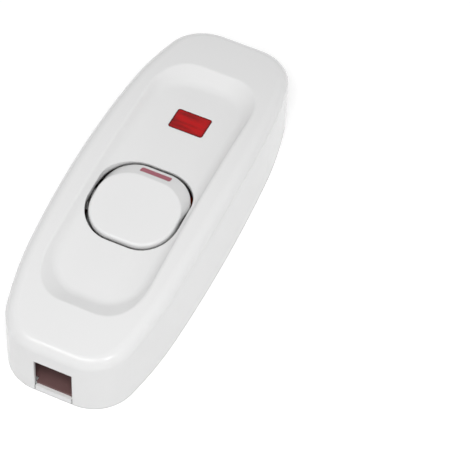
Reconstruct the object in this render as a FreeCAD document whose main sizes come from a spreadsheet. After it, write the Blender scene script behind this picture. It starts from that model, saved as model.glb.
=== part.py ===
import FreeCAD
import Part
import Sketcher
import math
import os

# Inline cord switch: rocker with a red mark, red lamp lens, cord inlet at each end
# Frame: X across, Y along the cord towards the lens end, Z up, back on Z = 0

doc = FreeCAD.newDocument("inline_cord_switch")
sheet = doc.addObject("Spreadsheet::Sheet", "sizes")

# Driving dimensions, millimetres and degrees
driving = {
    "body_length": 105.0,
    "body_width": 38.9,
    "body_height": 23.2,
    "crown_radius": 246.0,
    "side_radius": 432.0,
    "side_reach": 26.0,
    "corner_radius": 11.0,
    "shoulder_inset": 3.25,
    "top_round": 3.0,
    "wall": 2.0,
    "fit_gap": 0.15,
    "tool_margin": 2.0,
    "trough_depth": 3.0,
    "trough_flat_half": 4.7,
    "trough_scoop": 1.0,
    "trough_floor_half": 11.7,
    "trough_flare": 1.5,
    "trough_near_end": 35.3,
    "trough_far_end": 33.5,
    "trough_end_slope": 1.95,
    "trough_corner_ease": 0.8,
    "trough_rim_round": 0.8,
    "trough_floor_round": 4.0,
    "inlet_width": 9.65,
    "inlet_top": 11.5,
    "inlet_lip": 0.8,
    "inlet_relief": 1.0,
    "base_thickness": 1.9,
    "liner_thickness": 0.6,
    "liner_gap": 0.15,
    "aperture_width": 23.4,
    "aperture_length": 24.2,
    "aperture_corner": 9.0,
    "pivot_offset": 7.35,
    "pivot_drop": 2.6,
    "pivot_pin_radius": 1.5,
    "pivot_fit": 0.06,
    "bearing_thickness": 2.6,
    "bearing_gap": 0.2,
    "bearing_half": 3.0,
    "bearing_below": 2.8,
    "rocker_side_gap": 0.55,
    "rocker_end_gap": 0.55,
    "rocker_corner": 8.45,
    "rocker_swing": 6.5,
    "rocker_skirt_below": 2.6,
    "rocker_skirt_top": 1.1,
    "rocker_wall": 1.6,
    "rocker_roof": 0.6,
    "rocker_face_tilt": 0.9,
    "rocker_face_height": 4.08,
    "rocker_face_near": 10.9,
    "rocker_face_far": 7.0,
    "rocker_face_inset": 0.5,
    "rocker_face_corner": 8.2,
    "rocker_edge_round": 0.8,
    "mark_width": 7.8,
    "mark_length": 2.2,
    "mark_depth": 0.5,
    "mark_back": 0.4,
    "guide_radius": 3.75,
    "guide_below": 5.0,
    "guide_roof": 2.0,
    "plunger_radius": 2.1,
    "plunger_fit": 0.1,
    "plunger_top": 2.2,
    "plunger_clearance": 0.12,
    "spring_radius": 1.45,
    "spring_wire": 0.25,
    "spring_turns": 3.0,
    "spring_seat_gap": 0.05,
    "fulcrum_height": 6.6,
    "fulcrum_radius": 0.6,
    "fulcrum_fit": 0.06,
    "fulcrum_half_width": 2.6,
    "contact_under": 0.5,
    "contact_thickness": 1.0,
    "contact_half_width": 3.0,
    "contact_arm": 8.0,
    "tip_reach": 7.0,
    "tip_radius": 1.2,
    "tip_height": 0.7,
    "tip_gap": 0.3,
    "stop_gap": 0.15,
    "stop_half_width": 2.0,
    "stop_depth": 1.2,
    "strip_thickness": 0.8,
    "strip_width": 4.0,
    "strip_x": 7.0,
    "cross_width": 4.0,
    "block_width": 6.0,
    "block_length": 8.0,
    "block_height": 7.0,
    "block_reach": 29.0,
    "wire_bore": 1.6,
    "wire_bore_height": 3.0,
    "terminal_screw_radius": 1.5,
    "terminal_head_radius": 2.3,
    "terminal_head_height": 1.6,
    "terminal_screw_depth": 2.4,
    "slot_width": 0.6,
    "slot_depth": 0.8,
    "clamp_from_end": 10.5,
    "clamp_post_x": 8.2,
    "clamp_post_radius": 2.4,
    "clamp_seat": 8.6,
    "clamp_length": 22.0,
    "clamp_width": 5.0,
    "clamp_thickness": 2.4,
    "clamp_rib_radius": 1.0,
    "clamp_screw_radius": 1.25,
    "clamp_head_radius": 2.1,
    "clamp_head_height": 1.5,
    "clamp_screw_depth": 5.0,
    "screw_fit": 0.05,
    "cover_screw_y": 21.5,
    "cover_screw_radius": 1.3,
    "cover_screw_reach": 12.0,
    "cover_head_radius": 2.4,
    "cover_head_height": 1.6,
    "cover_head_recess": 0.6,
    "cover_head_fit": 0.1,
    "collar_radius": 3.3,
    "collar_height": 4.4,
    "boss_radius": 2.8,
    "boss_gap": 0.1,
    "collar_wall_gap": 1.55,
    "lens_width": 8.9,
    "lens_length": 6.5,
    "lens_corner": 0.6,
    "lens_reach": 21.1,
    "lens_fit": 0.08,
    "lens_depth": 4.6,
    "lens_wall": 0.9,
    "lens_top": 1.1,
    "lens_flange": 1.0,
    "lamp_radius": 2.5,
    "lamp_length": 10.0,
    "lamp_lens_gap": 0.7,
    "lamp_seat_gap": 0.1,
    "cradle_half_width": 2.4,
    "cradle_length": 5.0,
    "cradle_web": 1.2,
    "lead_radius": 0.3,
    "lead_spread": 1.2,
    "lead_run": 1.6,
    "resistor_radius": 1.1,
    "resistor_length": 5.0,
}


class Size:
    # A number together with the sheet expression that gives it
    def __init__(self, value, text):
        self.value = float(value)
        self.text = text

    def join(self, other, sign, value):
        return Size(value, "(%s %s %s)" % (self.text, sign, other.text))

    def __add__(self, other):
        other = as_size(other)
        return self.join(other, "+", self.value + other.value)

    def __sub__(self, other):
        other = as_size(other)
        return self.join(other, "-", self.value - other.value)

    def __mul__(self, other):
        other = as_size(other)
        return self.join(other, "*", self.value * other.value)

    def __truediv__(self, other):
        other = as_size(other)
        return self.join(other, "/", self.value / other.value)

    def __rsub__(self, other):
        return as_size(other) - self

    def __neg__(self):
        return as_size(-1) * self

    __radd__ = __add__
    __rmul__ = __mul__


def as_size(amount):
    return amount if isinstance(amount, Size) else Size(amount, str(amount))


def sine(angle):
    return Size(math.sin(math.radians(angle.value)), "sin(%s)" % angle.text)


def cosine(angle):
    return Size(math.cos(math.radians(angle.value)), "cos(%s)" % angle.text)


def half_turn(opposite, longest):
    return Size(math.degrees(math.asin(opposite.value / longest.value)),
                "asin(%s / %s) / 1 deg" % (opposite.text, longest.text))


def slope_angle(rise, run):
    return Size(math.degrees(math.atan2(rise.value, run.value)),
                "atan(%s / %s) / 1 deg" % (rise.text, run.text))


class Sizes:
    # Every driving dimension as a Size, by its name
    def __init__(self, values):
        for row, (name, value) in enumerate(values.items(), 1):
            sheet.set("A%d" % row, name)
            sheet.set("B%d" % row, str(value))
            sheet.setAlias("B%d" % row, name)
            setattr(self, name, Size(value, "sizes." + name))


at = Sizes(driving)
doc.recompute()
parts = {}

# Places that several pieces share
crown_axis = at.body_height - at.crown_radius
half_length = at.body_length / 2
floor_radius = at.crown_radius - at.trough_depth
trough_rim_half = at.trough_floor_half + at.trough_flare
trough_end_corner = trough_rim_half + at.trough_corner_ease
pivot_y = -at.pivot_offset
pivot_z = at.body_height - at.trough_depth - at.pivot_drop
rocker_width = at.aperture_width - 2 * at.rocker_side_gap
rocker_length = at.aperture_length - 2 * at.rocker_end_gap
bearing_inner = at.aperture_width / 2 + at.bearing_gap
bearing_outer = bearing_inner + at.bearing_thickness
contact_top = at.contact_under + at.contact_thickness
plunger_tip = pivot_z - at.fulcrum_height - contact_top - at.plunger_clearance
end_flat = at.body_width - 2 * at.corner_radius - 2 * at.shoulder_inset
floor_top = at.base_thickness + at.liner_thickness
block_top = floor_top + at.block_height
clamp_reach = half_length - at.clamp_from_end
clamp_top = at.clamp_seat + at.clamp_thickness
cover_screw_x = at.body_width / 2 - at.wall - at.collar_radius - at.collar_wall_gap
lens_bottom = at.body_height - at.trough_depth - at.lens_depth
lamp_height = lens_bottom - at.lamp_lens_gap - at.lamp_radius
zero = as_size(0)

# Limits used to pick edges and faces and to catch a cut that misses
same_size = 0.001
smallest_cut = 0.01
edge_slack = 0.3
edge_shares = (0.1, 0.5, 0.9)


# Binding, placing and sketching helpers
def bind(thing, property_name, amount):
    thing.setExpression(property_name, as_size(amount).text)


def place(thing, x, y, z):
    for axis, amount in (("x", x), ("y", y), ("z", z)):
        bind(thing, "Placement.Base." + axis, amount)


def turn_about_x(thing, angle):
    turn = FreeCAD.Rotation(FreeCAD.Vector(1, 0, 0), angle.value)
    thing.Placement = FreeCAD.Placement(FreeCAD.Vector(), turn)
    thing.setExpression("Placement.Rotation.Angle", "(%s) * 1 deg" % angle.text)


def box(name, low, high):
    block = doc.addObject("Part::Box", name)
    for side, start, end in zip(("Length", "Width", "Height"), low, high):
        bind(block, side, end - start)
    place(block, *low)
    return block


def rod(name, radius, length, start, direction="z"):
    cylinder = doc.addObject("Part::Cylinder", name)
    bind(cylinder, "Radius", radius)
    bind(cylinder, "Height", length)
    turns = {
        "x": (FreeCAD.Vector(0, 1, 0), 90),
        "y": (FreeCAD.Vector(1, 0, 0), -90),
        "z": (FreeCAD.Vector(0, 0, 1), 0),
    }
    cylinder.Placement = FreeCAD.Placement(FreeCAD.Vector(), FreeCAD.Rotation(*turns[direction]))
    place(cylinder, *start)
    return cylinder


def fuse(name, shapes):
    joined = doc.addObject("Part::MultiFuse", name)
    joined.Shapes = shapes
    return joined


def cut(name, base, tool):
    result = doc.addObject("Part::Cut", name)
    result.Base = base
    result.Tool = tool
    return result


def group(name, shapes):
    together = doc.addObject("Part::Compound", name)
    together.Links = shapes
    return together


def new_body(name):
    return doc.addObject("PartDesign::Body", name)


def new_sketch(body, name, role, shift=None, tilt=None):
    sketch = body.newObject("Sketcher::SketchObject", name)
    plane = [feature for feature in body.Origin.OriginFeatures if feature.Role == role][0]
    sketch.AttachmentSupport = [(plane, "")]
    sketch.MapMode = "FlatFace"
    if tilt:
        turn = FreeCAD.Rotation(FreeCAD.Vector(1, 0, 0), tilt.value)
        sketch.AttachmentOffset = FreeCAD.Placement(FreeCAD.Vector(), turn)
        sketch.setExpression("AttachmentOffset.Rotation.Angle", "(%s) * 1 deg" % tilt.text)
    for axis, amount in (shift or {}).items():
        bind(sketch, "AttachmentOffset.Base." + axis, amount)
    return sketch


def hold(sketch, kind, places, amount):
    index = sketch.addConstraint(Sketcher.Constraint(kind, *places, amount.value))
    sketch.setExpression("Constraints[%d]" % index, amount.text)


def hold_point(sketch, piece, end, x, y):
    hold(sketch, "DistanceX", (-1, 1, piece, end), x)
    hold(sketch, "DistanceY", (-1, 1, piece, end), y)


def polygon(sketch, corners):
    points = [FreeCAD.Vector(x.value, y.value, 0) for x, y in corners]
    count = len(points)
    for index, point in enumerate(points):
        sketch.addGeometry(Part.LineSegment(point, points[(index + 1) % count]), False)
    for index, (x, y) in enumerate(corners):
        sketch.addConstraint(Sketcher.Constraint("Coincident", index, 2, (index + 1) % count, 1))
        hold_point(sketch, index, 1, x, y)


def circle(sketch, radius, x=None, y=None):
    centre = FreeCAD.Vector(x.value if x else 0, y.value if y else 0, 0)
    piece = sketch.addGeometry(Part.Circle(centre, FreeCAD.Vector(0, 0, 1), radius.value), False)
    hold(sketch, "Radius", (piece,), radius)
    if x or y:
        hold_point(sketch, piece, 3, x or zero, y or zero)
    else:
        sketch.addConstraint(Sketcher.Constraint("Coincident", piece, 3, -1, 1))


def arc(centre_x, centre_y, radius, start, end):
    ring = Part.Circle(FreeCAD.Vector(centre_x, centre_y, 0), FreeCAD.Vector(0, 0, 1), radius)
    return Part.ArcOfCircle(ring, start, end)


def join_tangent(sketch, count):
    for index in range(count):
        sketch.addConstraint(Sketcher.Constraint("Tangent", index, 2, (index + 1) % count, 1))


def rounded_rectangle(sketch, left, right, low, high, radius):
    x0, x1, y0, y1, r = left.value, right.value, low.value, high.value, radius.value
    quarter = math.pi / 2
    straight = [((x0 + r, y0), (x1 - r, y0)), ((x1, y0 + r), (x1, y1 - r)),
                ((x1 - r, y1), (x0 + r, y1)), ((x0, y1 - r), (x0, y0 + r))]
    centres = [(x1 - r, y0 + r), (x1 - r, y1 - r), (x0 + r, y1 - r), (x0 + r, y0 + r)]
    for index, (ends, centre) in enumerate(zip(straight, centres)):
        sketch.addGeometry(Part.LineSegment(*[FreeCAD.Vector(x, y, 0) for x, y in ends]), False)
        sketch.addGeometry(arc(*centre, r, (index - 1) * quarter, index * quarter), False)
    join_tangent(sketch, 8)
    for piece, kind in ((0, "Horizontal"), (2, "Vertical"), (4, "Horizontal"), (6, "Vertical")):
        sketch.addConstraint(Sketcher.Constraint(kind, piece))
    for piece in (3, 5, 7):
        sketch.addConstraint(Sketcher.Constraint("Equal", 1, piece))
    hold(sketch, "Radius", (1,), radius)
    sides = ((0, "DistanceY", low), (2, "DistanceX", right), (4, "DistanceY", high), (6, "DistanceX", left))
    for piece, kind, amount in sides:
        hold(sketch, kind, (-1, 1, piece, 1), amount)


def plan_outline(sketch, inset):
    # Bowed sides, tighter shoulders, round corners and a flat at each end, all tangent
    width = at.body_width - 2 * inset
    length = at.body_length - 2 * inset
    side = at.side_radius - inset
    corner = at.corner_radius - inset
    reach = at.side_reach * side / at.side_radius
    lean = math.asin(reach.value / side.value)
    side_x = width.value / 2 - side.value
    corner_x, corner_y = end_flat.value / 2, length.value / 2 - corner.value
    across = side_x + side.value * math.cos(lean) - corner_x
    along = reach.value - corner_y
    inward = -across * math.cos(lean) - along * math.sin(lean)
    shoulder = (corner.value ** 2 - across ** 2 - along ** 2) / (2 * (inward + corner.value))
    shoulder_x = side_x + (side.value - shoulder) * math.cos(lean)
    shoulder_y = reach.value - shoulder * math.sin(lean)
    turn = math.atan2(corner_y - shoulder_y, corner_x - shoulder_x)
    quarter, half = math.pi / 2, math.pi
    end = FreeCAD.Vector(corner_x, length.value / 2, 0)
    pieces = [
        arc(side_x, 0, side.value, -lean, lean),
        arc(shoulder_x, shoulder_y, shoulder, lean, turn),
        arc(corner_x, corner_y, corner.value, turn, quarter),
        Part.LineSegment(end, FreeCAD.Vector(-end.x, end.y, 0)),
        arc(-corner_x, corner_y, corner.value, quarter, half - turn),
        arc(-shoulder_x, shoulder_y, shoulder, half - turn, half - lean),
        arc(-side_x, 0, side.value, half - lean, half + lean),
        arc(-shoulder_x, -shoulder_y, shoulder, half + lean, half + turn),
        arc(-corner_x, -corner_y, corner.value, half + turn, half + quarter),
        Part.LineSegment(FreeCAD.Vector(-end.x, -end.y, 0), FreeCAD.Vector(end.x, -end.y, 0)),
        arc(corner_x, -corner_y, corner.value, -quarter, -turn),
        arc(shoulder_x, -shoulder_y, shoulder, -turn, -lean),
    ]
    sketch.addGeometry(pieces, False)
    join_tangent(sketch, len(pieces))
    for first, others in ((0, (6,)), (1, (5, 7, 11)), (2, (4, 8, 10))):
        for other in others:
            sketch.addConstraint(Sketcher.Constraint("Equal", first, other))
    hold(sketch, "Radius", (0,), side)
    hold(sketch, "Radius", (2,), corner)
    for piece in (0, 6):
        sketch.addConstraint(Sketcher.Constraint("PointOnObject", piece, 3, -1))
    hold(sketch, "DistanceX", (-1, 1, 0, 3), width / 2 - side)
    hold(sketch, "DistanceX", (-1, 1, 6, 3), side - width / 2)
    hold(sketch, "DistanceY", (-1, 1, 0, 2), reach)
    for piece, along_end, sign in ((3, length / 2, 1), (9, -length / 2, -1)):
        sketch.addConstraint(Sketcher.Constraint("Horizontal", piece))
        hold_point(sketch, piece, 1, sign * end_flat / 2, along_end)
        hold(sketch, "DistanceX", (-1, 1, piece, 2), -sign * end_flat / 2)


def pad(body, sketch, name, length, symmetric=False, down=False):
    feature = body.newObject("PartDesign::Pad", name)
    feature.Profile = sketch
    feature.SideType = "Symmetric" if symmetric else "One side"
    feature.Reversed = down
    bind(feature, "Length", length)
    doc.recompute()
    return feature


def pocket(body, sketch, name, length=None, up=False):
    feature = body.newObject("PartDesign::Pocket", name)
    feature.Profile = sketch
    feature.Reversed = up
    if length:
        bind(feature, "Length", length)
    else:
        feature.Type = "ThroughAll"
        feature.SideType = "Symmetric"
    before = feature.BaseFeature.Shape.Volume
    doc.recompute()
    if before - feature.Shape.Volume < smallest_cut:
        raise RuntimeError(name + " cuts nothing")
    return feature


def round_faces(body, base, name, radius, wanted):
    names = ["Face%d" % index for index, face in enumerate(base.Shape.Faces, 1) if wanted(face)]
    feature = body.newObject("PartDesign::Fillet", name)
    feature.Base = (base, names)
    bind(feature, "Radius", radius)
    doc.recompute()
    return feature


def crown_pocket(body, name, drop):
    # Takes away all that stands above the lengthwise crown lowered by the drop
    radius = at.crown_radius - drop
    reach = half_length + at.tool_margin
    top = at.body_height + at.tool_margin
    centre = crown_axis.value
    rise = math.sqrt(radius.value ** 2 - reach.value ** 2)
    lean = math.atan2(reach.value, rise)
    sketch = new_sketch(body, name + "_sketch", "YZ_Plane")
    low = FreeCAD.Vector(reach.value, centre + rise, 0)
    high = FreeCAD.Vector(reach.value, top.value, 0)
    sketch.addGeometry([
        arc(0, centre, radius.value, math.pi / 2 - lean, math.pi / 2 + lean),
        Part.LineSegment(FreeCAD.Vector(-low.x, low.y, 0), FreeCAD.Vector(-high.x, high.y, 0)),
        Part.LineSegment(FreeCAD.Vector(-high.x, high.y, 0), high),
        Part.LineSegment(high, low),
    ], False)
    for index in range(4):
        sketch.addConstraint(Sketcher.Constraint("Coincident", index, 2, (index + 1) % 4, 1))
    sketch.addConstraint(Sketcher.Constraint("PointOnObject", 0, 3, -2))
    hold(sketch, "DistanceY", (-1, 1, 0, 3), crown_axis)
    hold(sketch, "Radius", (0,), radius)
    hold(sketch, "DistanceX", (-1, 1, 0, 1), reach)
    hold(sketch, "DistanceX", (-1, 1, 0, 2), -reach)
    hold_point(sketch, 2, 1, -reach, top)
    hold_point(sketch, 2, 2, reach, top)
    return pocket(body, sketch, name)


def on_crown(face):
    if not isinstance(face.Surface, Part.Cylinder):
        return False
    return abs(face.Surface.Radius - at.crown_radius.value) < same_size


# Cover: outer block under the crown, trough, then the hollow and the openings
def crowned_block(name, inset):
    body = new_body(name)
    sketch = new_sketch(body, name + "_outline", "XY_Plane")
    plan_outline(sketch, inset)
    pad(body, sketch, name + "_pad", at.body_height)
    return body, crown_pocket(body, name + "_crown", inset)


def sweep_round_crown(body, sketch, name):
    sweep = body.newObject("PartDesign::Revolution", name)
    sweep.Profile = sketch
    sweep.ReferenceAxis = (sketch, ["H_Axis"])
    sweep.Midplane = True
    bind(sweep, "Angle", 2 * half_turn(half_length - at.wall, floor_radius))
    doc.recompute()


def overlap(name, shapes):
    shared = doc.addObject("Part::MultiCommon", name)
    shared.Shapes = shapes
    doc.recompute()
    return shared


def trough_tool(name, drop):
    # Walls swept round the crown axis, ended by two sloped planes, over a floor that rises to both sides
    low = floor_radius - drop
    high = at.crown_radius + at.tool_margin
    side_slope = at.trough_flare / (at.trough_depth - at.trough_scoop)
    narrow = at.trough_floor_half - side_slope * (at.trough_scoop + at.tool_margin)
    wide = narrow + side_slope * (high - low + at.tool_margin)
    run = new_body(name + "_run")
    section = new_sketch(run, name + "_section", "XZ_Plane", {"y": crown_axis})
    foot = low - at.tool_margin
    polygon(section, [(-narrow, foot), (narrow, foot), (wide, high), (-wide, high)])
    sweep_round_crown(run, section, name + "_sweep")
    ends = new_body(name + "_ends")
    side = new_sketch(ends, name + "_side", "YZ_Plane")
    outline = []
    for sign, end in ((-1, at.trough_near_end), (1, at.trough_far_end)):
        crease = at.body_height - at.trough_depth - drop - end * end / (2 * floor_radius)
        level = [(sign * (end + at.trough_end_slope * (z - crease)), z)
                 for z in (at.base_thickness, at.body_height + at.tool_margin)]
        outline += level[::-sign]
    polygon(side, outline)
    pad(ends, side, name + "_length", 2 * at.body_width, symmetric=True)
    blunt = overlap(name + "_blunt", [run, ends])
    corners = []
    for index, edge in enumerate(blunt.Shape.Edges, 1):
        start, end = edge.Vertexes[0].Point, edge.Vertexes[-1].Point
        across = abs(start.x - end.x)
        if abs(start.z - end.z) > edge_slack and edge_slack < across < at.trough_floor_half.value:
            corners.append((index, trough_end_corner.value, trough_end_corner.value))
    rounded = doc.addObject("Part::Fillet", name + "_rounded")
    rounded.Base = blunt
    rounded.Edges = corners
    return overlap(name, [rounded, trough_floor(name + "_floor", low, high, wide + at.tool_margin)])


def edge_points(edge):
    start, end = edge.FirstParameter, edge.LastParameter
    return [edge.valueAt(start + share * (end - start)) for share in edge_shares]


def above_crown_axis(point):
    return math.hypot(point.y, point.z - crown_axis.value)


def round_trough_foot(base):
    # Crease where the walls meet the floor; the two lines where the scoop starts stay as they are
    chosen = []
    for index, edge in enumerate(base.Shape.Edges, 1):
        points = edge_points(edge)
        deep = all(above_crown_axis(point) < floor_radius.value + at.trough_scoop.value + edge_slack
                   for point in points)
        inner = all(abs(abs(point.x) - at.trough_flat_half.value) < same_size for point in points)
        if deep and not inner:
            chosen.append((index, at.trough_floor_round.value, at.trough_floor_round.value))
    rounded = doc.addObject("Part::Fillet", "trough_foot_round")
    rounded.Base = base
    rounded.Edges = chosen
    return rounded


def trough_floor(name, low, high, edge):
    # All that lies above a floor level in the middle and curved up to each side
    flat, rise = at.trough_flat_half, at.trough_scoop
    run = at.trough_floor_half - flat
    radius = (run * run + rise * rise) / (2 * rise)
    lean = math.asin((edge - flat).value / radius.value)
    brow = low.value + radius.value * (1 - math.cos(lean))
    down = -math.pi / 2
    centre = (low + radius).value
    points = [FreeCAD.Vector(x, z, 0) for x, z in (
        (-flat.value, low.value), (flat.value, low.value), (edge.value, brow), (edge.value, high.value),
        (-edge.value, high.value), (-edge.value, brow))]
    body = new_body(name)
    sketch = new_sketch(body, name + "_section", "XZ_Plane", {"y": crown_axis})
    sketch.addGeometry([
        Part.LineSegment(points[0], points[1]),
        arc(flat.value, centre, radius.value, down, down + lean),
        Part.LineSegment(points[2], points[3]),
        Part.LineSegment(points[3], points[4]),
        Part.LineSegment(points[4], points[5]),
        arc(-flat.value, centre, radius.value, down - lean, down),
    ], False)
    joints = ("Tangent", "Coincident", "Coincident", "Coincident", "Coincident", "Tangent")
    for index, kind in enumerate(joints):
        sketch.addConstraint(Sketcher.Constraint(kind, index, 2, (index + 1) % len(joints), 1))
    for piece in (2, 4):
        sketch.addConstraint(Sketcher.Constraint("Vertical", piece))
    sketch.addConstraint(Sketcher.Constraint("Equal", 1, 5))
    hold_point(sketch, 0, 1, -flat, low)
    hold_point(sketch, 0, 2, flat, low)
    hold(sketch, "Radius", (1,), radius)
    hold_point(sketch, 3, 1, edge, high)
    hold_point(sketch, 3, 2, -edge, high)
    sweep_round_crown(body, sketch, name + "_sweep")
    return body


def round_trough(base):
    # Rim edges of the trough, the only ones on the crown inside the rim's reach
    doc.recompute()
    longest = at.trough_near_end + at.trough_end_slope * at.trough_depth
    chosen = []
    for index, edge in enumerate(base.Shape.Edges, 1):
        points = edge_points(edge)
        level = all(abs(above_crown_axis(point) - at.crown_radius.value) < edge_slack for point in points)
        inside = all(abs(point.x) < trough_rim_half.value + edge_slack for point in points)
        short = all(abs(point.y) < longest.value + edge_slack for point in points)
        if level and inside and short:
            chosen.append((index, at.trough_rim_round.value, at.trough_rim_round.value))
    rounded = doc.addObject("Part::Fillet", "trough_rounds")
    rounded.Base = base
    rounded.Edges = chosen
    return rounded


def prism(name, left, right, low, high, radius, bottom, height):
    body = new_body(name)
    sketch = new_sketch(body, name + "_outline", "XY_Plane", {"z": bottom})
    rounded_rectangle(sketch, left, right, low, high, radius)
    pad(body, sketch, name + "_pad", height)
    return body


def cover_screw_places():
    return (("near", cover_screw_x, -at.cover_screw_y), ("far", -cover_screw_x, at.cover_screw_y))


def make_cover():
    outer, crowned = crowned_block("cover_outside", zero)
    round_faces(outer, crowned, "cover_top_round", at.top_round, on_crown)
    scooped = round_trough_foot(trough_tool("trough", zero))
    skin = round_trough(cut("cover_with_trough", outer, scooped))
    hollow = crowned_block("cover_hollow", at.wall)[0]
    kept = [trough_tool("trough_underside", at.wall)]
    sky = at.body_height + at.tool_margin
    for side, x, y in cover_screw_places():
        start = at.collar_height + at.boss_gap
        kept.append(rod("boss_" + side, at.boss_radius, sky - start, (x, y, start)))
    for side, x in (("left", -bearing_outer), ("right", bearing_inner)):
        low = (x, pivot_y - at.bearing_half, pivot_z - at.bearing_below)
        kept.append(box("bearing_" + side, low, (x + at.bearing_thickness, pivot_y + at.bearing_half, sky)))
    shell = cut("cover_shell", skin, cut("cover_cavity", hollow, fuse("cover_kept", kept)))

    half_aperture = at.aperture_width / 2
    openings = [prism("aperture", -half_aperture, half_aperture, pivot_y - at.aperture_length / 2,
                      pivot_y + at.aperture_length / 2, at.aperture_corner, pivot_z - at.tool_margin,
                      at.body_height + at.tool_margin - pivot_z)]
    wide, run = at.lens_width / 2 + at.lens_fit, at.lens_length / 2 + at.lens_fit
    openings.append(prism("window", -wide, wide, at.lens_reach - run, at.lens_reach + run,
                          at.lens_corner + at.lens_fit, pivot_z - at.tool_margin,
                          at.body_height + 2 * at.tool_margin - pivot_z))
    ends = (("near", -half_length - at.tool_margin), ("far", half_length - at.wall - at.tool_margin))
    for side, near in ends:
        openings.append(box("inlet_" + side, (-at.inlet_width / 2, near, -at.tool_margin),
                            (at.inlet_width / 2, near + at.wall + 2 * at.tool_margin, at.inlet_top)))
    relief_half = at.inlet_width / 2 + at.inlet_relief
    relief_start = half_length - at.inlet_lip
    for side, near in (("near", -relief_start), ("far", relief_start - at.wall - at.tool_margin)):
        openings.append(box("inlet_relief_" + side, (-relief_half, near, -at.tool_margin),
                            (relief_half, near + at.wall + at.tool_margin, at.inlet_top + at.inlet_relief)))
    openings.append(rod("pivot_bore", at.pivot_pin_radius + at.pivot_fit, 2 * (bearing_outer + at.fit_gap),
                        (-bearing_outer - at.fit_gap, pivot_y, pivot_z), "x"))
    for side, x, y in cover_screw_places():
        openings.append(rod("boss_bore_" + side, at.cover_screw_radius + at.screw_fit, at.cover_screw_reach,
                            (x, y, at.collar_height)))
    parts["cover"] = cut("cover_finished", shell, fuse("cover_openings", openings))


# Base plate: closes the back, carries clamps, screws, lamp cradle and contact stop
def clamp_post_places():
    return [(row + "_" + side, across * at.clamp_post_x, along * clamp_reach)
            for row, along in (("near", -1), ("far", 1)) for side, across in (("left", -1), ("right", 1))]


def cradle_corners(grow):
    half_run = at.cradle_length / 2 + grow
    half_width = at.cradle_half_width + grow
    return ((-half_width, at.lens_reach - half_run, zero),
            (half_width, at.lens_reach + half_run, lamp_height - at.lamp_radius / 2))


def stop_corners(grow):
    # Stands just under the lowest place of the near contact arm
    dip = at.contact_arm * sine(at.rocker_swing) - at.contact_under * cosine(at.rocker_swing)
    start = pivot_y - at.contact_arm
    top = at.fulcrum_height - dip - at.stop_gap
    return ((-at.stop_half_width - grow, start - grow, zero),
            (at.stop_half_width + grow, start + at.stop_depth + grow, top))


def make_base_plate():
    body = new_body("base_sheet")
    sketch = new_sketch(body, "base_outline", "XY_Plane")
    plan_outline(sketch, at.wall + at.fit_gap)
    pad(body, sketch, "base_pad", at.base_thickness)
    raised = [body]
    removed = []
    tab_half = at.inlet_width / 2 - at.fit_gap
    inner = half_length - 2 * at.wall
    for side, start in (("near", -half_length), ("far", inner)):
        raised.append(box("sill_" + side, (-tab_half, start, zero),
                          (tab_half, start + 2 * at.wall, at.base_thickness)))
    hole_foot = at.clamp_seat - at.clamp_screw_depth
    for name, x, y in clamp_post_places():
        raised.append(rod("clamp_post_" + name, at.clamp_post_radius, at.clamp_seat, (x, y, zero)))
        removed.append(rod("clamp_hole_" + name, at.clamp_screw_radius + at.screw_fit,
                           at.clamp_screw_depth + at.tool_margin, (x, y, hole_foot)))
    head_room = at.cover_head_recess + at.cover_head_height
    for side, x, y in cover_screw_places():
        raised.append(rod("collar_" + side, at.collar_radius, at.collar_height, (x, y, zero)))
        removed.append(rod("head_recess_" + side, at.cover_head_radius + at.cover_head_fit, head_room,
                           (x, y, zero)))
        removed.append(rod("shank_hole_" + side, at.cover_screw_radius + at.cover_head_fit,
                           at.collar_height + at.tool_margin, (x, y, zero)))
    raised.append(box("lamp_cradle", *cradle_corners(zero)))
    cradle_y = at.lens_reach - at.cradle_length / 2
    removed.append(rod("lamp_seat", at.lamp_radius + at.lamp_seat_gap,
                       at.cradle_length + 2 * at.tool_margin,
                       (zero, cradle_y - at.tool_margin, lamp_height), "y"))
    removed.append(box("cradle_hollow", (-at.cradle_half_width, cradle_y + at.cradle_web, floor_top),
                       (at.cradle_half_width, cradle_y + at.cradle_length - at.cradle_web, lamp_height)))
    raised.append(box("contact_stop", *stop_corners(zero)))
    parts["base_plate"] = cut("base_finished", fuse("base_raised", raised), fuse("base_removed", removed))


# Liner: vulcanised fibre sheet on the base plate, cut out round all that stands up from it
def make_insulating_liner():
    body = new_body("liner_sheet")
    sketch = new_sketch(body, "liner_outline", "XY_Plane", {"z": at.base_thickness})
    plan_outline(sketch, at.wall + 2 * at.fit_gap)
    pad(body, sketch, "liner_pad", at.liner_thickness)
    tongue_half = at.inlet_width / 2 - at.fit_gap
    tongue_end = half_length - at.inlet_lip
    tongues = [box("liner_tongue_" + side, (-tongue_half, start, at.base_thickness),
                   (tongue_half, start + 2 * at.wall, floor_top))
               for side, start in (("near", -tongue_end), ("far", tongue_end - 2 * at.wall))]
    blank = fuse("liner_blank", [body] + tongues)
    holes = [rod("liner_post_hole_" + name, at.clamp_post_radius + at.liner_gap, at.clamp_seat,
                 (x, y, zero)) for name, x, y in clamp_post_places()]
    holes += [rod("liner_collar_hole_" + side, at.collar_radius + at.liner_gap, at.clamp_seat,
                  (x, y, zero)) for side, x, y in cover_screw_places()]
    holes.append(box("liner_cradle_hole", *cradle_corners(at.liner_gap)))
    holes.append(box("liner_stop_hole", *stop_corners(at.liner_gap)))
    parts["insulating_liner"] = cut("liner_punched", blank, fuse("liner_holes", holes))


# Rocker and what it carries, drawn about the pivot and placed tipped to its rest side
def tip_with_rocker(body):
    turn_about_x(body, at.rocker_swing)
    place(body, zero, pivot_y, pivot_z)


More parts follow.
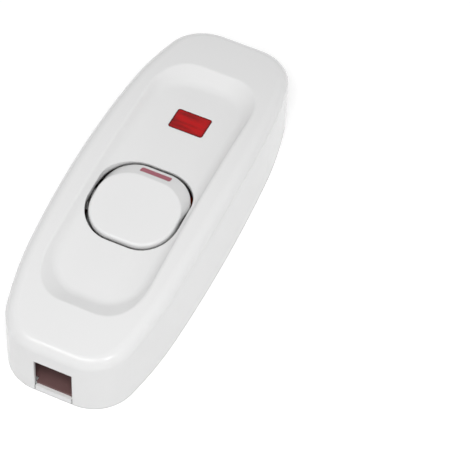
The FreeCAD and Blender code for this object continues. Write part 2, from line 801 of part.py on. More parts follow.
def band_plane():
    # Slope of the far band and the point half way down it
    ridge_y = at.rocker_face_far * cosine(at.rocker_face_tilt)
    ridge_z = at.rocker_face_height + at.rocker_face_far * sine(at.rocker_face_tilt)
    run = rocker_length / 2 - ridge_y
    fall = ridge_z - at.rocker_skirt_top
    return (ridge_y + rocker_length / 2) / 2, (ridge_z + at.rocker_skirt_top) / 2, slope_angle(fall, run)


def mark_sketch(body, name):
    y, z, slope = band_plane()
    sketch = new_sketch(body, name, "XY_Plane", {"y": y, "z": z}, -slope)
    half = at.mark_width / 2
    near = at.mark_back - at.mark_length / 2
    rounded_rectangle(sketch, -half, half, near, near + at.mark_length, at.mark_depth)
    return sketch


def on_rocker_face(side):
    if not isinstance(side.Surface, Part.Plane):
        return False
    return abs(side.normalAt(0, 0).z - cosine(at.rocker_face_tilt).value) < same_size


def make_rocker():
    half_width, half_run = rocker_width / 2, rocker_length / 2
    body = new_body("rocker_body")
    sketch = new_sketch(body, "skirt_outline", "XY_Plane", {"z": -at.rocker_skirt_below})
    rounded_rectangle(sketch, -half_width, half_width, -half_run, half_run, at.rocker_corner)
    pad(body, sketch, "skirt", at.rocker_skirt_below + at.rocker_skirt_top)
    foot = new_sketch(body, "crown_foot", "XY_Plane", {"z": at.rocker_skirt_top})
    rounded_rectangle(foot, -half_width, half_width, -half_run, half_run, at.rocker_corner)
    face = new_sketch(body, "crown_face", "XY_Plane", {"z": at.rocker_face_height}, at.rocker_face_tilt)
    half_face = half_width - at.rocker_face_inset
    rounded_rectangle(face, -half_face, half_face, -at.rocker_face_near, at.rocker_face_far,
                      at.rocker_face_corner)
    crown = body.newObject("PartDesign::AdditiveLoft", "crown")
    crown.Profile = foot
    crown.Sections = [face]
    crown.Ruled = True
    doc.recompute()
    round_faces(body, crown, "crown_round", at.rocker_edge_round, on_rocker_face)
    under = new_sketch(body, "hollow_outline", "XY_Plane", {"z": -at.rocker_skirt_below})
    inner_width, inner_run = half_width - at.rocker_wall, half_run - at.rocker_wall
    rounded_rectangle(under, -inner_width, inner_width, -inner_run, inner_run,
                      at.rocker_corner - at.rocker_wall)
    pocket(body, under, "hollow", at.rocker_skirt_below + at.rocker_roof, up=True)
    guide = new_sketch(body, "guide_outline", "XY_Plane", {"z": -at.guide_below})
    circle(guide, at.guide_radius)
    pad(body, guide, "guide", at.guide_below + at.rocker_roof)
    bore = new_sketch(body, "guide_bore_outline", "XY_Plane", {"z": -at.guide_below})
    circle(bore, at.plunger_radius + at.plunger_fit)
    pocket(body, bore, "guide_bore", at.guide_below + at.guide_roof, up=True)
    pin_length = bearing_outer - half_width + at.rocker_wall - at.fit_gap
    for side, start in (("left", -bearing_outer + at.fit_gap), ("right", half_width - at.rocker_wall)):
        pin = new_sketch(body, "pin_outline_" + side, "YZ_Plane", {"z": start})
        circle(pin, at.pivot_pin_radius)
        pad(body, pin, "pin_" + side, pin_length)
    pocket(body, mark_sketch(body, "mark_recess_outline"), "mark_recess", at.mark_depth)
    tip_with_rocker(body)
    parts["rocker"] = body


def make_rocker_mark():
    body = new_body("mark_body")
    pad(body, mark_sketch(body, "mark_outline"), "mark_inlay", at.mark_depth, down=True)
    tip_with_rocker(body)
    parts["rocker_mark"] = body


def make_plunger():
    # Turned pin with a ball end, drawn as half a section about its axis
    body = new_body("plunger_body")
    sketch = new_sketch(body, "plunger_section", "XZ_Plane")
    ball = at.plunger_radius - plunger_tip
    end, top, side = -plunger_tip, -at.plunger_top, at.plunger_radius
    corners = ((side, ball), (side, top), (zero, top), (zero, end))
    points = [FreeCAD.Vector(x.value, z.value, 0) for x, z in corners]
    sketch.addGeometry([
        arc(0, ball.value, side.value, -math.pi / 2, 0),
        Part.LineSegment(points[0], points[1]),
        Part.LineSegment(points[1], points[2]),
        Part.LineSegment(points[2], points[3]),
    ], False)
    sketch.addConstraint(Sketcher.Constraint("Tangent", 0, 2, 1, 1))
    for index in range(1, 4):
        sketch.addConstraint(Sketcher.Constraint("Coincident", index, 2, (index + 1) % 4, 1))
    for piece, end_point in ((0, 3), (2, 2), (0, 1)):
        sketch.addConstraint(Sketcher.Constraint("PointOnObject", piece, end_point, -2))
    sketch.addConstraint(Sketcher.Constraint("Vertical", 1))
    sketch.addConstraint(Sketcher.Constraint("Horizontal", 2))
    hold(sketch, "Radius", (0,), side)
    hold(sketch, "DistanceY", (-1, 1, 0, 3), ball)
    hold(sketch, "DistanceY", (-1, 1, 2, 2), top)
    turned = body.newObject("PartDesign::Revolution", "plunger_turned")
    turned.Profile = sketch
    turned.ReferenceAxis = (sketch, ["V_Axis"])
    doc.recompute()
    tip_with_rocker(body)
    parts["plunger"] = body


def make_plunger_spring():
    body = new_body("spring_body")
    low = at.spring_wire + at.spring_seat_gap - at.plunger_top
    high = at.guide_roof - at.spring_wire - at.spring_seat_gap
    sketch = new_sketch(body, "spring_wire_section", "XZ_Plane")
    circle(sketch, at.spring_wire, at.spring_radius, low)
    coil = body.newObject("PartDesign::AdditiveHelix", "spring_coil")
    coil.Profile = sketch
    coil.ReferenceAxis = (sketch, ["V_Axis"])
    coil.Mode = "height-turns-angle"
    bind(coil, "Height", high - low)
    bind(coil, "Turns", at.spring_turns)
    doc.recompute()
    tip_with_rocker(body)
    parts["plunger_spring"] = body


# Contacts and terminals, folded brass with blocks at the cord ends
def make_moving_contact():
    body = new_body("contact_body")
    sketch = new_sketch(body, "contact_side", "YZ_Plane")
    polygon(sketch, [(-at.contact_arm, at.contact_under), (at.contact_arm, at.contact_under),
                     (at.contact_arm, contact_top), (-at.contact_arm, contact_top)])
    pad(body, sketch, "contact_plate", 2 * at.contact_half_width, symmetric=True)
    groove = new_sketch(body, "contact_groove_outline", "YZ_Plane")
    circle(groove, at.fulcrum_radius + at.fulcrum_fit)
    pocket(body, groove, "contact_groove")
    turn_about_x(body, -at.rocker_swing)
    place(body, zero, pivot_y, at.fulcrum_height)
    parts["moving_contact"] = body

    tip = new_body("moving_tip_body")
    disc = new_sketch(tip, "moving_tip_outline", "XY_Plane", {"z": at.contact_under - at.tip_height})
    circle(disc, at.tip_radius, zero, at.tip_reach)
    pad(tip, disc, "moving_tip_disc", at.tip_height)
    turn_about_x(tip, -at.rocker_swing)
    place(tip, zero, pivot_y, at.fulcrum_height)
    parts["moving_contact_tip"] = tip


def terminal_block(name, x, y):
    low = (x - at.block_width / 2, y - at.block_length / 2, floor_top)
    high = (x + at.block_width / 2, y + at.block_length / 2, block_top)
    bore = rod(name + "_wire_bore", at.wire_bore, at.block_length,
               (x, low[1], low[2] + at.wire_bore_height), "y")
    hole = rod(name + "_screw_hole", at.terminal_screw_radius + at.screw_fit, at.block_height,
               (x, y, block_top - at.terminal_screw_depth))
    return cut(name, box(name + "_solid", low, high), fuse(name + "_holes", [bore, hole]))


def fixed_tip_top():
    # Highest the resting contact may stand under the closed moving tip
    dip = (at.tip_reach + at.tip_radius) * sine(at.rocker_swing)
    under = (at.tip_height - at.contact_under) * cosine(at.rocker_swing)
    return at.fulcrum_height - dip - under - at.tip_gap


def make_terminals():
    strip_top = floor_top + at.strip_thickness
    left, right = -at.strip_x - at.strip_width / 2, at.strip_x - at.strip_width / 2
    block_inner = at.block_reach - at.block_length / 2
    tongue = fixed_tip_top() - at.tip_height
    ends = {
        "line_in_terminal": (-1, pivot_y, at.fulcrum_half_width),
        "line_out_terminal": (1, pivot_y + at.tip_reach, at.tip_radius),
    }
    for name, (sign, cross_y, cross_end) in ends.items():
        block = terminal_block(name + "_block", -at.strip_x, sign * at.block_reach)
        low, high = cross_y - at.cross_width / 2, cross_y + at.cross_width / 2
        start, end = (-block_inner, high) if sign < 0 else (low, block_inner)
        strip = box(name + "_strip", (left, start, floor_top), (left + at.strip_width, end, strip_top))
        cross = box(name + "_cross", (left, low, floor_top), (cross_end, high, strip_top))
        pieces = [block, strip, cross]
        if sign < 0:
            pieces.append(box("fulcrum_post", (-cross_end, cross_y - at.fulcrum_radius, floor_top),
                              (cross_end, cross_y + at.fulcrum_radius, at.fulcrum_height)))
            pieces.append(rod("fulcrum_edge", at.fulcrum_radius, 2 * cross_end,
                              (-cross_end, cross_y, at.fulcrum_height), "x"))
        else:
            pieces.append(box("tongue_post", (-cross_end, cross_y - cross_end, floor_top),
                              (cross_end, cross_y + cross_end, tongue)))
        parts[name] = fuse(name + "_folded", pieces)
    parts["fixed_contact_tip"] = rod("fixed_tip_disc", at.tip_radius, at.tip_height,
                                     (zero, pivot_y + at.tip_reach, tongue))

    strip = box("neutral_strip", (right, -block_inner, floor_top),
                (right + at.strip_width, block_inner, strip_top))
    blocks = [terminal_block("neutral_block_" + side, at.strip_x, sign * at.block_reach)
              for side, sign in (("near", -1), ("far", 1))]
    parts["neutral_link"] = fuse("neutral_folded", [strip] + blocks)


# Screws: a slotted head on a plain shank, threads left smooth
def screw(name, x, y, seat, head_radius, head_height, radius, depth, downward=True):
    foot = seat - depth if downward else seat
    head_foot = seat if downward else seat - head_height
    shank = rod(name + "_shank", radius, depth, (x, y, foot))
    head = rod(name + "_head", head_radius, head_height, (x, y, head_foot))
    slot_foot = seat + head_height - at.slot_depth if downward else seat - head_height
    slot = box(name + "_slot", (x - head_radius, y - at.slot_width / 2, slot_foot),
               (x + head_radius, y + at.slot_width / 2, slot_foot + at.slot_depth))
    return cut(name, fuse(name + "_blank", [shank, head]), slot)


def make_screws():
    ends = [(row, side, row_sign, side_sign) for row, row_sign in (("near", -1), ("far", 1))
            for side, side_sign in (("left", -1), ("right", 1))]
    terminal = [screw("terminal_screw_%s_%s" % (row, side), across * at.strip_x, along * at.block_reach,
                      block_top, at.terminal_head_radius, at.terminal_head_height,
                      at.terminal_screw_radius, at.terminal_screw_depth)
                for row, side, along, across in ends]
    clamp = [screw("clamp_screw_" + name, x, y, clamp_top, at.clamp_head_radius, at.clamp_head_height,
                   at.clamp_screw_radius, at.clamp_screw_depth + at.clamp_thickness - at.screw_fit)
             for name, x, y in clamp_post_places()]
    head_seat = at.cover_head_recess + at.cover_head_height
    cover = [screw("cover_screw_" + side, x, y, head_seat, at.cover_head_radius, at.cover_head_height,
                   at.cover_screw_radius, at.cover_screw_reach, downward=False)
             for side, x, y in cover_screw_places()]
    parts["terminal_screws"] = group("terminal_screw_set", terminal)
    parts["clamp_screws"] = group("clamp_screw_set", clamp)
    parts["cover_screws"] = group("cover_screw_set", cover)


def make_cord_clamps():
    for side, y in (("near", -clamp_reach), ("far", clamp_reach)):
        name = "cord_clamp_" + side
        half = at.clamp_length / 2
        bar = box(name + "_bar", (-half, y - at.clamp_width / 2, at.clamp_seat),
                  (half, y + at.clamp_width / 2, clamp_top))
        grip = at.clamp_post_x - at.clamp_post_radius - at.fit_gap
        rib = rod(name + "_rib", at.clamp_rib_radius, 2 * grip, (-grip, y, at.clamp_seat), "x")
        holes = [rod("%s_hole_%s" % (name, end), at.clamp_screw_radius + at.screw_fit,
                     at.clamp_thickness, (x, y, at.clamp_seat))
                 for end, x in (("left", -at.clamp_post_x), ("right", at.clamp_post_x))]
        blank = fuse(name + "_blank", [bar, rib])
        parts[name] = cut(name + "_drilled", blank, fuse(name + "_holes", holes))


# Lens and lamp: hollow red cap seated in the trough floor over a neon glow lamp
def make_lens():
    body = new_body("lens_body")
    half_width, half_run = at.lens_width / 2, at.lens_length / 2
    height = at.lens_depth + at.tool_margin

    def rectangle(name, grow, level):
        sketch = new_sketch(body, name, "XY_Plane", {"z": level})
        wide, run = half_width + grow, half_run + grow
        rounded_rectangle(sketch, -wide, wide, at.lens_reach - run, at.lens_reach + run, at.lens_corner)
        return sketch

    pad(body, rectangle("flange_outline", at.lens_flange, lens_bottom), "flange", height)
    crown_pocket(body, "flange_seat", at.trough_depth + at.wall + at.lens_fit)
    pad(body, rectangle("cap_outline", zero, lens_bottom), "cap", height)
    crown_pocket(body, "cap_top", at.trough_depth)
    fall = at.lens_reach * at.lens_reach / (2 * at.crown_radius)
    pocket(body, rectangle("hollow_outline", -at.lens_wall, lens_bottom), "cap_hollow",
           at.lens_depth - at.lens_top - fall, up=True)
    parts["lens"] = body


def make_lamp():
    near = at.lens_reach - at.lamp_length / 2
    tube = rod("lamp_tube", at.lamp_radius, at.lamp_length, (zero, near, lamp_height), "y")
    dome = doc.addObject("Part::Sphere", "lamp_dome")
    bind(dome, "Radius", at.lamp_radius)
    place(dome, zero, near, lamp_height)
    parts["neon_lamp"] = fuse("lamp_envelope", [tube, dome])

    far = at.lens_reach + at.lamp_length / 2
    body_start = far + at.lead_run
    parts["lamp_resistor"] = rod("resistor_body", at.resistor_radius, at.resistor_length,
                                 (at.lead_spread, body_start, lamp_height), "y")
    body_end = body_start + at.resistor_length
    seat = block_top + at.lead_radius
    landing = at.block_reach + at.block_length / 2 - at.lead_run
    block_edge = at.strip_x - at.block_width / 2 + at.lead_radius
    routes = [
        [(-at.lead_spread, far, lamp_height), (-at.lead_spread, far + at.lead_run, lamp_height),
         (-block_edge, landing, seat)],
        [(at.lead_spread, far, lamp_height), (at.lead_spread, body_start, lamp_height)],
        [(at.lead_spread, body_end, lamp_height), (at.lead_spread, body_end + at.lead_run, lamp_height),
         (block_edge, landing, seat)],
    ]
    wires = []
    for route in routes:
        points = [FreeCAD.Vector(x.value, y.value, z.value) for x, y, z in route]
        path = Part.Wire(Part.makePolygon(points).Edges)
        ring = Part.Wire(Part.makeCircle(at.lead_radius.value, points[0], points[1] - points[0]))
        wires.append(path.makePipeShell([ring], True, False, 2))
    leads = doc.addObject("Part::Feature", "lead_wires")
    leads.Shape = Part.makeCompound(wires)
    parts["lamp_leads"] = leads


def write_parts():
    doc.recompute()
    for thing in doc.Objects:
        if "Invalid" in thing.State or "Error" in thing.State:
            raise RuntimeError("%s does not build" % thing.Name)
    os.makedirs("parts", exist_ok=True)
    for node, thing in parts.items():
        thing.Label = node
        if thing.Shape.isNull() or not thing.Shape.isValid():
            raise RuntimeError("%s has no valid shape" % node)
        thing.Shape.exportStep("parts/%s.step" % node)
        print("%-20s solids %d volume %9.2f" % (node, len(thing.Shape.Solids), thing.Shape.Volume))


make_cover()
make_base_plate()
make_insulating_liner()
make_rocker()
make_rocker_mark()
make_plunger()
make_plunger_spring()
make_moving_contact()
make_terminals()
make_screws()
make_cord_clamps()
make_lens()
make_lamp()
write_parts()
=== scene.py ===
import math
import bpy
from mathutils import Matrix, Vector


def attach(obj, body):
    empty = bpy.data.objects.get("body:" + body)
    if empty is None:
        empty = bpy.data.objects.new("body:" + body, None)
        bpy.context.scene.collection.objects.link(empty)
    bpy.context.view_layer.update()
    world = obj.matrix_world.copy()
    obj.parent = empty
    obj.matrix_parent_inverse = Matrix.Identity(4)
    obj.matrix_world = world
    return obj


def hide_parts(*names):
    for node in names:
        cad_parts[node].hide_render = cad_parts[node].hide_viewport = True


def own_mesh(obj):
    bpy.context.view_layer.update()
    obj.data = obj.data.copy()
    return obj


# Inline cord switch lying on its back on a white table

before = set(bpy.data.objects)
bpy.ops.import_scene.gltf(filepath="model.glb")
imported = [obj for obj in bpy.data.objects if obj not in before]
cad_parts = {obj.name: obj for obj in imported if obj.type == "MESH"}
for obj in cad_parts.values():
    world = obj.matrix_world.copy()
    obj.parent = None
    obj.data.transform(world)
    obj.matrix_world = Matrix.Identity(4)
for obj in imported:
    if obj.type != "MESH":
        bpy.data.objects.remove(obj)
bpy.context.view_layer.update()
print("frame loaded", len(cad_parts), "nodes")

mm = 0.001
white = (1, 1, 1, 1)


def toLinear(hexText):
    # sRGB curve
    channels = [int(hexText[i:i + 2], 16) / 255 for i in (1, 3, 5)]
    linear = [c / 12.92 if c <= 0.04045 else ((c + 0.055) / 1.055) ** 2.4 for c in channels]
    return (*linear, 1)


def addNode(tree, kind, settings=None, links=None):
    node = tree.nodes.new(kind)
    for name, value in (settings or {}).items():
        if isinstance(name, int) or name in node.inputs:
            node.inputs[name].default_value = value
        else:
            setattr(node, name, value)
    for name, source in (links or {}).items():
        tree.links.new(source, node.inputs[name])
    return node


def newMaterial(name):
    material = bpy.data.materials.new(name)
    material.use_nodes = True
    material.node_tree.nodes.clear()
    return material, material.node_tree


def finishMaterial(tree, shader):
    addNode(tree, "ShaderNodeOutputMaterial", links={"Surface": shader})


# painted shade in narrow gaps: shut and open are shares of open sky, below shut a gap is painted nearly
# black, above open the colour is whole
paintedSeamShade = {"samples": 12, "shut": 0.38, "open": 0.46, "black": 0.02, "backTilt": -0.99}


def paintSeamShade(tree, colour, reach):
    # painted shade: gaps narrower than the reach are painted nearly black, open faces and the flat back keep
    # their colour
    sky = addNode(tree, "ShaderNodeAmbientOcclusion",
                  {"Distance": reach * mm, "samples": paintedSeamShade["samples"]})
    depth = addNode(tree, "ShaderNodeMapRange",
                    {"From Min": paintedSeamShade["shut"], "From Max": paintedSeamShade["open"],
                     "To Min": paintedSeamShade["black"]},
                    {"Value": sky.outputs["AO"]})
    facing = addNode(tree, "ShaderNodeNewGeometry")
    tilt = addNode(tree, "ShaderNodeSeparateXYZ", links={"Vector": facing.outputs["True Normal"]})
    notBack = addNode(tree, "ShaderNodeMath", {"operation": "GREATER_THAN", 1: paintedSeamShade["backTilt"]},
                      {0: tilt.outputs["Z"]})
    mixed = addNode(tree, "ShaderNodeMix", {"data_type": "RGBA", "blend_type": "MULTIPLY"},
                    {0: notBack.outputs[0], 6: colour, 7: depth.outputs["Result"]})
    return mixed.outputs[2]


# shared by all opaque finishes: gloss varies by its share either way, height is the grain's depth in mm
solidSurface = {"patchDetail": 2.0, "grainDetail": 3.0, "glossSpread": 0.1, "height": 0.02, "edgeSamples": 6}


def solidFinish(name, look):
    # opaque piece: two close tones, slight unevenness in gloss and a fine grain
    material, tree = newMaterial(name)
    place = addNode(tree, "ShaderNodeTexCoord")
    tone = addNode(tree, "ShaderNodeTexNoise",
                   {"Scale": 1 / (look["patch"] * mm), "Detail": solidSurface["patchDetail"]},
                   {"Vector": place.outputs["Object"]})
    ramp = addNode(tree, "ShaderNodeValToRGB", links={"Fac": tone.outputs["Fac"]})
    ramp.color_ramp.elements[0].color = toLinear(look["dark"])
    ramp.color_ramp.elements[1].color = toLinear(look["pale"])
    gloss = addNode(tree, "ShaderNodeMapRange",
                    {"To Min": look["roughness"] * (1 - solidSurface["glossSpread"]),
                     "To Max": look["roughness"] * (1 + solidSurface["glossSpread"])},
                    {"Value": tone.outputs["Fac"]})
    grain = addNode(tree, "ShaderNodeTexNoise",
                    {"Scale": 1 / (look["grain"] * mm), "Detail": solidSurface["grainDetail"]},
                    {"Vector": place.outputs["Object"]})
    bump = addNode(tree, "ShaderNodeBump",
                   {"Strength": look["relief"], "Distance": solidSurface["height"] * mm},
                   {"Height": grain.outputs["Fac"]})
    if "edge" in look:  # highlight on edges that the mould left slightly round
        rounded = addNode(tree, "ShaderNodeBevel",
                          {"samples": solidSurface["edgeSamples"], "Radius": look["edge"] * mm})
        tree.links.new(rounded.outputs["Normal"], bump.inputs["Normal"])
    colour = ramp.outputs["Color"]
    # painted shade inside narrow gaps between parts
    if "seam" in look:
        colour = paintSeamShade(tree, colour, look["seam"])
    shader = addNode(tree, "ShaderNodeBsdfPrincipled",
                     {"Metallic": look.get("metal", 0.0), "IOR": look.get("ior", 1.5)},
                     {"Base Color": colour, "Roughness": gloss.outputs["Result"],
                      "Normal": bump.outputs["Normal"]})
    finishMaterial(tree, shader.outputs["BSDF"])
    return material


def paintedRimShade(tree, colour, place, look):
    # painted shade: a dark line painted round the red stands in for the side walls seen through the cap's
    # edge
    spot = addNode(tree, "ShaderNodeSeparateXYZ", links={"Vector": place.outputs["Object"]})
    gaps = []
    for axis, middle, size in (("X", 0, look["wide"]), ("Y", look["middle"], look["long"])):
        away = addNode(tree, "ShaderNodeMath", {"operation": "SUBTRACT", 1: middle * mm},
                       {0: spot.outputs[axis]})
        reach = addNode(tree, "ShaderNodeMath", {"operation": "ABSOLUTE"}, {0: away.outputs[0]})
        gap = addNode(tree, "ShaderNodeMath", {"operation": "SUBTRACT", 0: size / 2 * mm},
                      {1: reach.outputs[0]})
        gaps.append(gap.outputs[0])
    inward = addNode(tree, "ShaderNodeMath", {"operation": "MINIMUM"}, {0: gaps[0], 1: gaps[1]})
    shade = addNode(tree, "ShaderNodeMapRange",
                    {"From Min": 0.0, "From Max": look["rim"] * mm, "To Min": look["rimShade"]},
                    {"Value": inward.outputs[0]})
    mixed = addNode(tree, "ShaderNodeMix", {"data_type": "RGBA", "blend_type": "MULTIPLY", 0: 1.0},
                    {6: colour, 7: shade.outputs["Result"]})
    return mixed.outputs[2]


def clearFinish(name, look):
    # see-through piece: tinted body with streaks where the stretch draws the pattern out
    material, tree = newMaterial(name)
    place = addNode(tree, "ShaderNodeTexCoord")
    drawn = addNode(tree, "ShaderNodeMapping", {"Scale": look["stretch"]},
                    {"Vector": place.outputs["Object"]})
    swirl = addNode(tree, "ShaderNodeTexNoise", {"Scale": 1 / (look["patch"] * mm), "Detail": look["detail"]},
                    {"Vector": drawn.outputs["Vector"]})
    ramp = addNode(tree, "ShaderNodeValToRGB", links={"Fac": swirl.outputs["Fac"]})
    for end, tone, where in zip(ramp.color_ramp.elements, ("dark", "pale"), look["ends"]):
        end.color = toLinear(look[tone])
        end.position = where
    colour = ramp.outputs["Color"]
    # painted shade round the cap's edge
    if "rim" in look:
        colour = paintedRimShade(tree, colour, place, look)
    shader = addNode(tree, "ShaderNodeBsdfPrincipled",
                     {"Roughness": look["roughness"], "IOR": look["ior"],
                      "Transmission Weight": look["through"], "Specular IOR Level": look["shine"]},
                     {"Base Color": colour})
    finishMaterial(tree, shader.outputs["BSDF"])
    return material


# patch, grain, seam, edge, rim and lens sizes are in mm
# the grain is drawn coarser than the real one so that it shows
# polished mould: clean white with sharp soft-box highlights, and painted shade that makes the seams black
whiteAbs = {"pale": "#ebebeb", "dark": "#e7e7e7", "patch": 30, "roughness": 0.2, "grain": 0.6,
            "relief": 0.02, "ior": 1.53, "seam": 1.2, "edge": 0.3}
# inlay a little duller than the cap round it, dusky red
redMark = {"pale": "#b0606f", "dark": "#a55665", "patch": 4, "roughness": 0.4, "grain": 0.3,
           "relief": 0.05, "ior": 1.49}
# unpigmented: creamy and waxy
naturalNylon = {"pale": "#dcd8c8", "dark": "#d2cebd", "patch": 6, "roughness": 0.45, "grain": 0.3,
                "relief": 0.05}
# fine satin from the mould, dark brown
brownNylon = {"pale": "#5b4345", "dark": "#50393b", "patch": 8, "roughness": 0.5, "grain": 0.3,
              "relief": 0.08}
# papery and matt, brown red
redFibre = {"pale": "#7a5b5a", "dark": "#6c4f4e", "patch": 6, "roughness": 0.6, "grain": 0.25,
            "relief": 0.2}
# thin lacquer, tan and half glossy
resistorCoat = {"pale": "#b58d5c", "dark": "#a57e4e", "patch": 2, "roughness": 0.35, "grain": 0.2,
                "relief": 0.05}
# rolled strip: warm yellow, a little dull
stampedBrass = {"pale": "#d8b567", "dark": "#c49f52", "patch": 9, "roughness": 0.3, "grain": 0.15,
                "relief": 0.1, "metal": 1.0}
# plating: cool grey, slightly cloudy
zincSteel = {"pale": "#c9ccd0", "dark": "#b4b7bb", "patch": 3, "roughness": 0.35, "grain": 0.12,
             "relief": 0.1, "metal": 1.0}
# pressed rivet heads: bright, faintly warm
silverContact = {"pale": "#e2e0da", "dark": "#d4d1ca", "patch": 2, "roughness": 0.25, "grain": 0.1,
                 "relief": 0.05, "metal": 1.0}
# smooth from the die: neutral and bright
drawnWire = {"pale": "#c4c4c4", "dark": "#b2b2b2", "patch": 1, "roughness": 0.28, "grain": 0.1,
             "relief": 0.05, "metal": 1.0}
# deep red, faint streaks across and a dark line of painted shade round the edge
redLens = {"pale": "#ff0a12", "dark": "#cc070d", "patch": 1.6, "detail": 2.0, "stretch": (0.2, 1, 1),
           "ends": (0.36, 0.58), "roughness": 0.05, "ior": 1.49, "through": 0.6, "shine": 0.1,
           "wide": 8.9, "long": 6.5, "middle": 21.1, "rim": 0.45, "rimShade": 0.3}
# nearly colourless and very smooth
lampGlass = {"pale": "#f2ece6", "dark": "#ebe4de", "patch": 4, "detail": 2.0, "stretch": (1, 1, 1),
             "ends": (0, 1), "roughness": 0.03, "ior": 1.5, "through": 0.95, "shine": 0.5}

finishes = {
    "moulded white ABS": (solidFinish, whiteAbs, ["cover", "base_plate", "rocker"]),
    "inlaid red acrylic": (solidFinish, redMark, ["rocker_mark"]),
    "turned natural nylon": (solidFinish, naturalNylon, ["plunger"]),
    "moulded brown nylon": (solidFinish, brownNylon, ["cord_clamp_near", "cord_clamp_far"]),
    "pressed vulcanised fibre": (solidFinish, redFibre, ["insulating_liner"]),
    "dipped resistor coat": (solidFinish, resistorCoat, ["lamp_resistor"]),
    "stamped brass": (solidFinish, stampedBrass,
                      ["moving_contact", "line_in_terminal", "line_out_terminal", "neutral_link"]),
    "zinc plated steel": (solidFinish, zincSteel, ["terminal_screws", "clamp_screws", "cover_screws"]),
    "riveted silver": (solidFinish, silverContact, ["moving_contact_tip", "fixed_contact_tip"]),
    "drawn steel wire": (solidFinish, drawnWire, ["plunger_spring", "lamp_leads"]),
    "moulded red acrylic": (clearFinish, redLens, ["lens"]),
    "drawn lamp glass": (clearFinish, lampGlass, ["neon_lamp"]),
}


def dressNodes():
    for name, (make, look, nodes) in finishes.items():
        material = make(name, look)
        for node in nodes:
            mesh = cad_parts[node].data
            mesh.materials.clear()
            mesh.materials.append(material)
    print("finishes made:", len(finishes))


crispAngle = 32  # degrees, steeper edges stay crisp


def smoothNodes():
    # moulded rounds shade smooth
    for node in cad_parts.values():
        node.data.shade_smooth()
        split = node.modifiers.new("crisp edges", "EDGE_SPLIT")
        split.split_angle = math.radians(crispAngle)
    print("shading smooth below", crispAngle, "degrees")


# coil under the rocker, its upper end on the guide's roof: a copy of the spring rides with the rocker in
# place of the spring node
springCoil = {"node": "plunger_spring", "body": "rocker", "joint": "plunger_slide", "slot": "spring_steel",
              "axis": (0, -0.113203, 0.993572), "travel": 1.0}


def fitSpring():
    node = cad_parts[springCoil["node"]]
    coil = bpy.data.objects.new("plunger_spring_coil", node.data.copy())
    bpy.context.collection.objects.link(coil)
    coil.matrix_world = node.matrix_world
    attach(coil, springCoil["body"])
    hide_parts(springCoil["node"])
    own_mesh(coil)


# wide flat table top, a hair below the switch so that the two faces don't flicker
table = {"half": 900, "drop": 0.05, "touch": 0.5, "colour": "#e8e8e8", "shade": "#e0e0e0", "lift": 0.36,
         "patch": 166.667, "detail": 2.0}


def buildTable():
    half = table["half"] * mm
    bpy.ops.mesh.primitive_plane_add(size=2 * half, location=(0, 0, -table["drop"] * mm))
    plane = bpy.context.object
    plane.name = "table"
    material, tree = newMaterial("painted white table")  # even matt paint, two close whites
    place = addNode(tree, "ShaderNodeTexCoord")
    noise = addNode(tree, "ShaderNodeTexNoise",
                    {"Scale": 1 / (table["patch"] * mm), "Detail": table["detail"]},
                    {"Vector": place.outputs["Object"]})
    ramp = addNode(tree, "ShaderNodeValToRGB", links={"Fac": noise.outputs["Fac"]})
    ramp.color_ramp.elements[0].color = toLinear(table["shade"])
    ramp.color_ramp.elements[1].color = toLinear(table["colour"])
    lit = addNode(tree, "ShaderNodeBsdfDiffuse", links={"Color": ramp.outputs["Color"]})
    path = addNode(tree, "ShaderNodeLightPath")
    mirrored = addNode(tree, "ShaderNodeMath", {"operation": "MAXIMUM"},
                       {0: path.outputs["Is Glossy Ray"], 1: path.outputs["Is Transmission Ray"]})
    seen = addNode(tree, "ShaderNodeMath", {"operation": "MAXIMUM"},
                   {0: path.outputs["Is Camera Ray"], 1: mirrored.outputs[0]})
    strength = addNode(tree, "ShaderNodeMath", {"operation": "MULTIPLY", 1: table["lift"]},
                       {0: seen.outputs[0]})
    glow = addNode(tree, "ShaderNodeEmission", {"Color": white}, {"Strength": strength.outputs[0]})
    both = addNode(tree, "ShaderNodeAddShader", links={0: lit.outputs[0], 1: glow.outputs[0]})
    # clear from below and to rays that start on the switch's back, so that the back can be looked at
    side = addNode(tree, "ShaderNodeNewGeometry")
    touching = addNode(tree, "ShaderNodeMath", {"operation": "LESS_THAN", 1: table["touch"] * mm},
                       {0: path.outputs["Ray Length"]})
    hidden = addNode(tree, "ShaderNodeMath", {"operation": "MAXIMUM"},
                     {0: side.outputs["Backfacing"], 1: touching.outputs[0]})
    clear = addNode(tree, "ShaderNodeBsdfTransparent")
    oneSided = addNode(tree, "ShaderNodeMixShader",
                       links={0: hidden.outputs[0], 1: both.outputs[0], 2: clear.outputs[0]})
    finishMaterial(tree, oneSided.outputs[0])
    plane.data.materials.append(material)
    print("table laid")


# light tent all round, brighter towards the top
tent = {"strength": 0.55, "from": -0.2, "to": 1.0, "low": 0.9, "high": 1.05}
# key by the camera and a card for the long wall light the faces
# streak and glint show only in the gloss, along the near edge and at its corner; places and sizes in mm
lamps = {
    "key": {"at": (130, -335, 565), "size": (230, 230), "watts": 2.1, "shine": False, "fill": True},
    "side": {"at": (500, 200, 40), "size": (460, 60), "watts": 0.2, "shine": False, "fill": True},
    "streak": {"at": (-105, -350, 575), "size": (340, 250), "watts": 0.8, "shine": True, "fill": False},
    "glint": {"at": (290, -330, 560), "size": (110, 90), "watts": 0.4, "shine": True, "fill": False},
}
lampTarget = (0, 0, 10)


def aimAt(thing, target):
    thing.rotation_euler = (Vector(target) - thing.location).to_track_quat("-Z", "Y").to_euler()


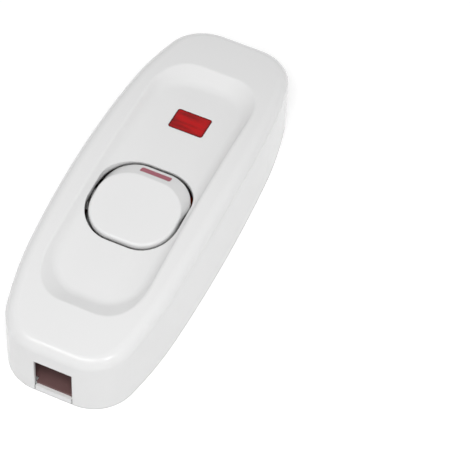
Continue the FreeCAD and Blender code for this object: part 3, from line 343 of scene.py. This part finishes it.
def lightStudio():
    world = bpy.data.worlds.new("light tent")
    bpy.context.scene.world = world
    world.use_nodes = True
    tree = world.node_tree
    tree.nodes.clear()
    place = addNode(tree, "ShaderNodeTexCoord")
    height = addNode(tree, "ShaderNodeSeparateXYZ", links={"Vector": place.outputs["Generated"]})
    fade = addNode(tree, "ShaderNodeMapRange",
                   {"From Min": tent["from"], "From Max": tent["to"],
                    "To Min": tent["low"], "To Max": tent["high"]},
                   {"Value": height.outputs["Z"]})
    level = addNode(tree, "ShaderNodeMath", {"operation": "MULTIPLY", 1: tent["strength"]},
                    {0: fade.outputs["Result"]})
    sky = addNode(tree, "ShaderNodeBackground", {"Color": white}, {"Strength": level.outputs[0]})
    addNode(tree, "ShaderNodeOutputWorld", links={"Surface": sky.outputs[0]})
    for name, lamp in lamps.items():
        light = bpy.data.lights.new(name, "AREA")
        light.shape = "RECTANGLE"
        light.size, light.size_y = (side * mm for side in lamp["size"])
        light.energy = lamp["watts"]
        holder = bpy.data.objects.new(name, light)
        holder.visible_glossy = lamp["shine"]
        holder.visible_diffuse = lamp["fill"]
        bpy.context.collection.objects.link(holder)
        holder.location = Vector(lamp["at"]) * mm
        aimAt(holder, Vector(lampTarget) * mm)
    print("studio lit")


# camera at the photo's angle; angles in degrees, lengths in mm
shot = {"azimuth": 21.539, "elevation": 52.849, "roll": 3.544, "distance": 574.32,
        "target": (21.70, 0.128, 12.0), "lens": 185.505, "sensor": 36.0, "clip": 10}


def setCamera():
    data = bpy.data.cameras.new("camera")
    data.sensor_width = shot["sensor"]
    data.lens = shot["lens"]
    data.clip_start = shot["clip"] * mm
    camera = bpy.data.objects.new("camera", data)
    bpy.context.collection.objects.link(camera)
    turn = (Matrix.Rotation(math.radians(shot["azimuth"]), 4, "Z")
            @ Matrix.Rotation(math.radians(90 - shot["elevation"]), 4, "X")
            @ Matrix.Rotation(math.radians(shot["roll"]), 4, "Z"))
    target = Matrix.Translation(Vector(shot["target"]) * mm)
    back = Matrix.Translation((0, 0, shot["distance"] * mm))
    camera.matrix_world = target @ turn @ back
    bpy.context.scene.camera = camera
    print("camera set")


dressNodes()
smoothNodes()
fitSpring()
buildTable()
lightStudio()
setCamera()
bpy.context.scene.view_settings.view_transform = "Standard"
